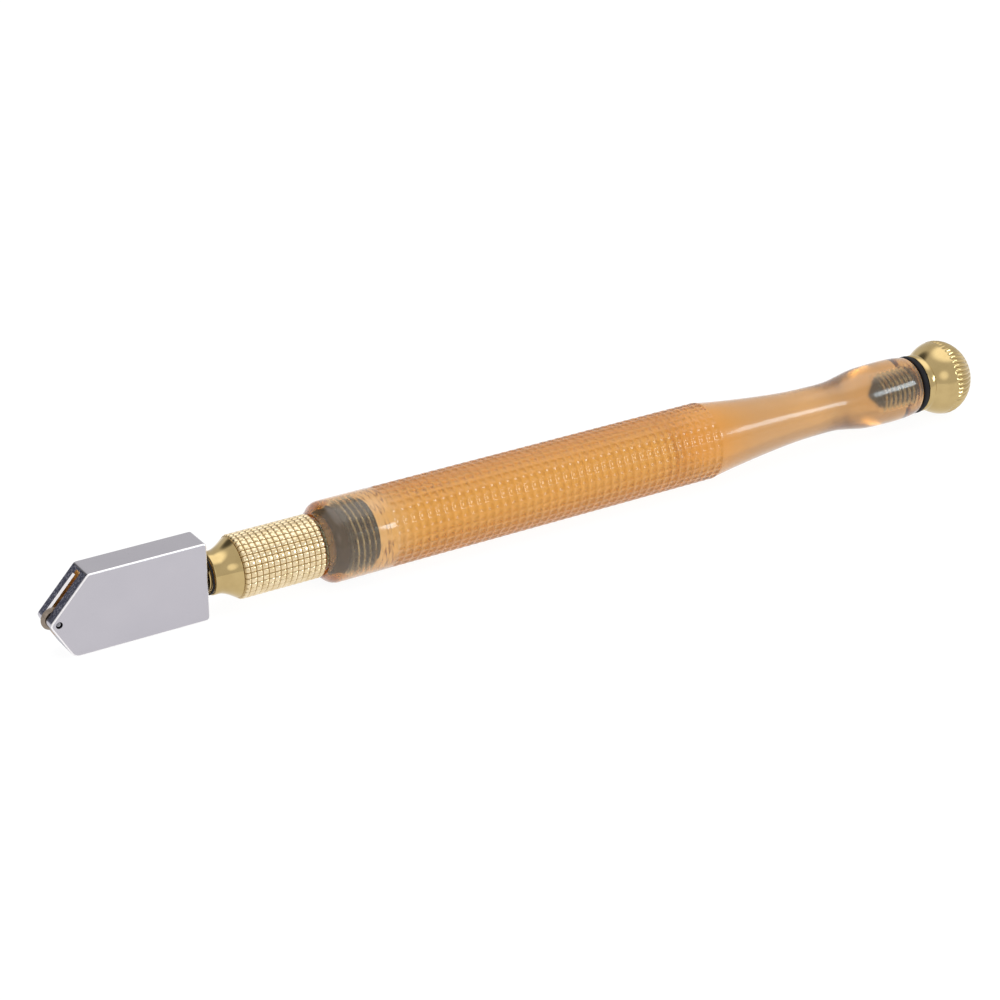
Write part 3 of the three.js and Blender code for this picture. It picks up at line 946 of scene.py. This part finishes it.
def knurl(x, angle):
    """Domed square pads between grooves cut round and along the ferrule, on its front chamfer too."""
    along = (x - KNURL_START) / KNURL_PITCH % 1.0 - 0.5
    around = angle * KNURL_COLUMNS / TURN % 1.0 - 0.5
    blank = np.interp(x, (KNURL_START, 31.35, 44.6, SHOULDER), (4.78, KNURL_RADIUS, KNURL_RADIUS, 4.9))
    return blank - KNURL_DEPTH * (1 - pillow(along, 0.48, 5) * pillow(around, 0.47, 5))


def make_ferrule():
    """The ferrule: flared nose, knurled grip and threaded shank, around its bore and chamber."""
    bevel = 0.12
    shares = [0.0, 0.05, 0.12, 0.25, 0.5, 0.75, 0.88, 0.95]
    rows = [KNURL_START + (row + share) * KNURL_PITCH for row in range(KNURL_ROWS) for share in shares]
    groove_start, groove_end = SHANK_GROOVE
    outside = [
        plain((NOSE_FRONT, MOUTH_RADIUS + 0.1), *NOSE),
        relief(rows, knurl),
        plain(
            (SHOULDER, 4.6), (SHOULDER, SHANK_RADIUS),
            (groove_start - bevel, SHANK_RADIUS), (groove_start, SHANK_RADIUS - bevel),
            (groove_start, SHANK_GROOVE_RADIUS), (groove_end, SHANK_GROOVE_RADIUS),
            (groove_end, SHANK_THREAD[0] - 0.05),
        ),
        thread(groove_end + 0.05, SHANK_END - 0.2, *SHANK_THREAD, SHANK_PITCH, (0.6, 0.8)),
        plain((SHANK_END, SHANK_THREAD[0] - 0.15)),
    ]
    inside = [
        plain((SHANK_END, CHAMBER_RADIUS - 0.15)),
        thread(SHANK_END - 0.2, 45.4, CHAMBER_RADIUS - 0.22, CHAMBER_RADIUS + 0.03, 0.5, (0.6, 0.6), 6),
        plain(
            (45.2, CHAMBER_RADIUS), (SEAT + 0.2, CHAMBER_RADIUS), (SEAT, CHAMBER_RADIUS - 0.2),
            (SEAT, NOSE_BORE), (28.6, NOSE_BORE), (28.6, MOUTH_RADIUS), (NOSE_FRONT + 0.1, MOUTH_RADIUS),
        ),
    ]
    columns = KNURL_COLUMNS * COLUMNS_PER_PAD
    ferrule = turned("knurled_ferrule", outside + inside, columns, 50)
    nose_end, knurl_end, shank_end = row_count(outside[:1]), row_count(outside[:2]), row_count(outside)
    paint_rows(
        ferrule, columns, BRASS,
        (nose_end, knurl_end, KNURL_BRASS), (knurl_end + 1, shank_end - 1, SHANK_STEEL),
    )
    return fit(ferrule, BRASS, "ferrule", "ferrule")


# --- Handle -------------------------------------------------------------------------------------

HANDLE_FRONT, HANDLE_END = stations("handle_body")
BAND_RADIUS = outer_radius("handle_body")
HANDLE_NOSE = [
    (0.0, 4.95), (0.08, 5.12), (0.25, 5.3), (0.55, 5.6), (0.85, 5.88), (1.1, 6.12), (1.35, 6.3),
    (1.65, 6.45), (2.0, 6.54), (2.5, 6.57), (3.2, 6.58),
]
GRIP_START = 56.5
GRIP_PITCH = 1.4875
GRIP_CELLS = 42
GRIP_COLUMNS = 30
GRIP_RADIUS = 6.55
GRIP_DEPTH = 0.2
WAIST = [
    (118.98, 6.5), (122.5, 5.97), (126.5, 5.47), (130.5, 5.02), (137.0, 4.44), (142.5, 4.26),
    (146.5, 4.31), (149.5, 4.75), (152.8, 5.27), (157.5, 5.45), (161.0, 5.38), (163.0, 5.14),
]
COUNTERBORE_END = 49.4
TAP_END = 57.5
RELIEF_RADIUS = 3.45
RELIEF_END = 63.6
RESERVOIR_RADIUS = 3.0
RESERVOIR_END = 110.0
TAIL_THREAD = (2.11, 2.17)
TAIL_TAP_START = 156.0
CONE_TIP = 153.4
THREAD_GAP = 0.1


def pocket(share):
    """The wall between a net's crest, at a share of -0.5 or 0.5, and the floor of its pocket."""
    wall = np.clip((0.45 - np.abs(share)) / 0.25, 0, 1)
    return wall * wall * (3 - 2 * wall)


def grip(x, angle):
    """A raised square net: rings round the handle and ridges along it."""
    along = (x - GRIP_START) / GRIP_PITCH % 1.0 - 0.5
    around = angle * GRIP_COLUMNS / TURN % 1.0 - 0.5
    return GRIP_RADIUS - GRIP_DEPTH * pocket(along) * (0.15 + 0.85 * pocket(around))


def smooth_curve(points, per_span=5):
    """A Catmull-Rom curve through (station, radius) points."""
    points = np.array(points, float)
    padded = np.vstack([2 * points[0] - points[1], points, 2 * points[-1] - points[-2]])
    curve = []
    for i in range(1, len(padded) - 2):
        p0, p1, p2, p3 = padded[i - 1 : i + 3]
        for t in np.arange(per_span) / per_span:
            curve.append(
                0.5 * (2 * p1 + (p2 - p0) * t + (2 * p0 - 5 * p1 + 4 * p2 - p3) * t**2
                       + (3 * p1 - p0 - 3 * p2 + p3) * t**3)
            )
    return [tuple(point) for point in curve] + [tuple(points[-1])]


def make_handle():
    """The handle: the tapped front and the reservoir, the outside, and the tapped tail."""
    female = (SHANK_THREAD[1] - 0.2, SHANK_THREAD[1] + THREAD_GAP)
    dome = arc((RESERVOIR_END, 0), (RESERVOIR_RADIUS, RESERVOIR_RADIUS), 80, 10, 7)
    shares = [0.0, 0.06, 0.14, 0.26, 0.5, 0.74, 0.86, 0.94]
    rows = [GRIP_START + (cell + share) * GRIP_PITCH for cell in range(GRIP_CELLS) for share in shares]
    rows.append(GRIP_START + GRIP_CELLS * GRIP_PITCH)
    front = [(HANDLE_FRONT + x, r) for x, r in HANDLE_NOSE]
    outside = [
        plain(*front, (50, BAND_RADIUS), (53, BAND_RADIUS), (GRIP_START - 0.3, BAND_RADIUS)),
        relief(rows, grip),
        plain(*smooth_curve(WAIST)[1:], (HANDLE_END - 0.12, 5.04), (HANDLE_END, 4.88)),
    ]
    tail = [
        plain((HANDLE_END, 2.3)),
        thread(HANDLE_END - 0.1, TAIL_TAP_START, *TAIL_THREAD, 1.0, (0.3, 0.6), 7),
        plain((TAIL_TAP_START - 0.3, 1.85), (CONE_TIP, 0)),
    ]
    hollow = [
        plain(
            (RESERVOIR_END + RESERVOIR_RADIUS, 0), *dome[::-1],
            (RESERVOIR_END, RESERVOIR_RADIUS), (88, RESERVOIR_RADIUS),
            (RELIEF_END + 0.4, RESERVOIR_RADIUS), (RELIEF_END, RELIEF_RADIUS),
            (TAP_END + 0.3, RELIEF_RADIUS),
        ),
        thread(TAP_END + 0.2, COUNTERBORE_END + 0.1, *female, SHANK_PITCH, (0.5, 0.5), 7),
        plain((COUNTERBORE_END, 4.2), (HANDLE_FRONT + 0.3, 4.2)),
    ]
    handle = turned("amber_handle", hollow + outside + tail, GRIP_COLUMNS * COLUMNS_PER_PAD, 50)
    return fit(handle, AMBER, "handle", "handle_body")


# --- Ball cap -----------------------------------------------------------------------------------

CAP_TIP, BALL_END = stations("end_cap")
CAP_THREAD = (1.52, 2.07)
CAP_CONE_END = 156.0
FLANGE = (164.9, 166.1)
FLANGE_RADIUS = 5.0
BALL_FRONT = 166.55
BALL_X = 170.75
BALL_RADIUS = outer_radius("end_cap")
BALL_FRONT_LENGTH = 6.2
BALL_FULLNESS = 1.8
TEETH = 45
TOOTH_DEPTH = 0.28
TEETH_BAND = (169.8, 174.0)


def ball_radius(x):
    """The ball's radius at a station, a little flattened at both ends."""
    length = np.where(x < BALL_X, BALL_FRONT_LENGTH, BALL_END - BALL_X)
    share = np.clip(np.abs(x - BALL_X) / length, 0, 1)
    return BALL_RADIUS * (1 - share**BALL_FULLNESS) ** (1 / BALL_FULLNESS)


def toothed_ball(x, angle):
    """The ball, with a band of teeth pressed into its back."""
    start, end = TEETH_BAND
    ends = np.clip((x - start) / 0.5, 0, 1) * np.clip((end - x) / 0.5, 0, 1)
    around = angle * TEETH / TURN % 1.0 - 0.5
    return ball_radius(x) - TOOTH_DEPTH * ends * (2 * np.abs(around)) ** 1.5


def make_cap():
    """The ball cap: its screw, its flange and the toothed ball."""
    rows = BALL_FRONT + (BALL_END - BALL_FRONT) * np.sin(np.linspace(0, math.pi / 2 - 0.03, 72))
    groove = float(ball_radius(BALL_FRONT)) + 0.02
    columns = TEETH * 6
    screw = [
        plain((CAP_TIP, 0), (CAP_TIP + 0.06, 0.18), (CAP_TIP + 0.2, 0.36), (CAP_CONE_END - 0.4, 1.5)),
        thread(CAP_CONE_END - 0.3, 163.4, *CAP_THREAD, 1.0, (1.0, 0.6)),
        plain((163.5, 1.8), (FLANGE[0], 1.8)),
    ]
    ball = [
        plain(
            (FLANGE[0], FLANGE_RADIUS - 0.12), (FLANGE[0] + 0.12, FLANGE_RADIUS),
            (FLANGE[1] - 0.08, FLANGE_RADIUS), (FLANGE[1], FLANGE_RADIUS - 0.1),
            (FLANGE[1] + 0.1, groove),
        ),
        relief(rows, toothed_ball),
        plain((BALL_END, 0)),
    ]
    cap = turned("ball_cap", screw + ball, columns, 45)
    paint_rows(cap, columns, BALL_BRASS, (0, row_count(screw) - 1, SCREW_STEEL))
    return fit(cap, BALL_BRASS, "cap", "end_cap")


# --- Stage, lights and camera -------------------------------------------------------------------


def make_floor_plane():
    """The plain floor, just under the tool."""
    half = 4.0
    mesh = bpy.data.meshes.new("studio_floor")
    corners = [(-half, -half), (half, -half), (half, half), (-half, half)]
    mesh.from_pydata([(x, y, -2e-5) for x, y in corners], [], [[0, 1, 2, 3]])
    mesh.materials.append(make_floor())
    floor = bpy.data.objects.new("studio_floor", mesh)
    bpy.context.scene.collection.objects.link(floor)


def strip_light(name, direction, distance, size, radiance, color):
    """A rectangular lamp that faces the tool, with the same brightness all over."""
    lamp = bpy.data.lights.new(name, "AREA")
    lamp.shape = "RECTANGLE"
    lamp.size, lamp.size_y = size
    lamp.energy = math.pi * radiance * size[0] * size[1]
    lamp.color = color
    holder = bpy.data.objects.new(name, lamp)
    away = Vector(direction).normalized()
    holder.location = CAMERA_TARGET + away * distance
    holder.rotation_euler = away.to_track_quat("Z", "Y").to_euler()
    bpy.context.scene.collection.objects.link(holder)


def make_world(level, patches):
    """Even studio light of a level, multiplied in soft-edged round patches of the sky."""
    world = bpy.data.worlds.new("studio")
    world.use_nodes = True
    tree = world.node_tree
    direction = tree.nodes.new("ShaderNodeTexCoord").outputs["Generated"]
    light = tree.nodes.new("ShaderNodeValue").outputs["Value"]
    light.default_value = level
    for centre, inner, outer, factor in patches:
        dot = tree.nodes.new("ShaderNodeVectorMath")
        dot.operation = "DOT_PRODUCT"
        tree.links.new(direction, dot.inputs[0])
        dot.inputs[1].default_value = Vector(centre).normalized()
        patch = tree.nodes.new("ShaderNodeMapRange")
        patch.interpolation_type = "SMOOTHSTEP"
        tree.links.new(dot.outputs["Value"], patch.inputs["Value"])
        limits = (math.cos(math.radians(outer)), math.cos(math.radians(inner)), 1.0, factor)
        for key, value in zip(("From Min", "From Max", "To Min", "To Max"), limits):
            patch.inputs[key].default_value = value
        times = tree.nodes.new("ShaderNodeMath")
        times.operation = "MULTIPLY"
        tree.links.new(light, times.inputs[0])
        tree.links.new(patch.outputs["Result"], times.inputs[1])
        light = times.outputs["Value"]
    background = tree.nodes["Background"]
    tree.links.new(light, background.inputs["Strength"])
    background.inputs["Color"].default_value = (1, 1, 1, 1)
    bpy.context.scene.world = world


CAMERA_TARGET = Vector((STATION_ZERO + 79.25 * MM, 0.0, AXIS_Z - 0.9 * MM))
CAMERA_DISTANCE = 0.4368
CAMERA_AZIMUTH = math.radians(-32.1285)
CAMERA_ELEVATION = math.radians(25.4844)


def make_camera():
    """A long lens that looks down along the tool from its head end. Returns the way to it."""
    camera = bpy.data.cameras.new("camera")
    camera.lens = 97.7
    camera.sensor_width = 36
    camera.clip_start = 0.01
    away = Vector(
        (
            math.sin(CAMERA_AZIMUTH) * math.cos(CAMERA_ELEVATION),
            -math.cos(CAMERA_AZIMUTH) * math.cos(CAMERA_ELEVATION),
            math.sin(CAMERA_ELEVATION),
        )
    )
    holder = bpy.data.objects.new("camera", camera)
    holder.location = CAMERA_TARGET + away * CAMERA_DISTANCE
    holder.rotation_euler = away.to_track_quat("Z", "Y").to_euler()
    bpy.context.scene.collection.objects.link(holder)
    bpy.context.scene.camera = holder
    return away


# Sky patches: the way to the middle, the inner and outer edges in degrees, and the factor.
overhead_glow = ((0.16, 0.07, 0.98), 16, 38, 2.3)
dark_card = ((-0.4, 0.7, 0.55), 8, 24, 0.15)
front_glow = (make_camera(), 1, 17, 1.9)

make_floor_plane()
make_world(0.8, [overhead_glow, dark_card, front_glow])
strip_light(
    "side_strip",
    direction=(0.63, -0.68, 0.37), distance=1.2, size=(0.53, 0.24), radiance=7.0,
    color=(0.78, 0.92, 1.0),
)
bpy.context.scene.view_settings.view_transform = "Standard"

make_head_block()
make_wheel()
make_axle()
make_stem()
make_wick()
o_ring("stem_seal", "stem_o_ring", "head", radius=1.4, cord=0.22)
ring_piece("valve_seal", "valve_washer", RUBBER, "head", inner=1.08, outer=2.0, bevel=0.15)
make_valve_nut()
ring_piece("slip_washer", "thrust_washer", BRASS, "plunger", inner=1.2, outer=2.0, bevel=0.08)
make_spring()
make_retainer()
ring_piece("neck_gasket", "neck_ring", RUBBER, "ferrule", inner=3.02, outer=3.24, bevel=0.07)
make_ferrule()
o_ring("shank_seal", "ferrule_o_ring", "ferrule_seal", radius=3.525, cord=0.625)
make_handle()
ring_piece(
    "tail_gasket", "cap_seal", RUBBER, "cap_seal",
    inner=2.3, outer=outer_radius("cap_seal"), bevel=0.3, columns=120,
)
make_cap()
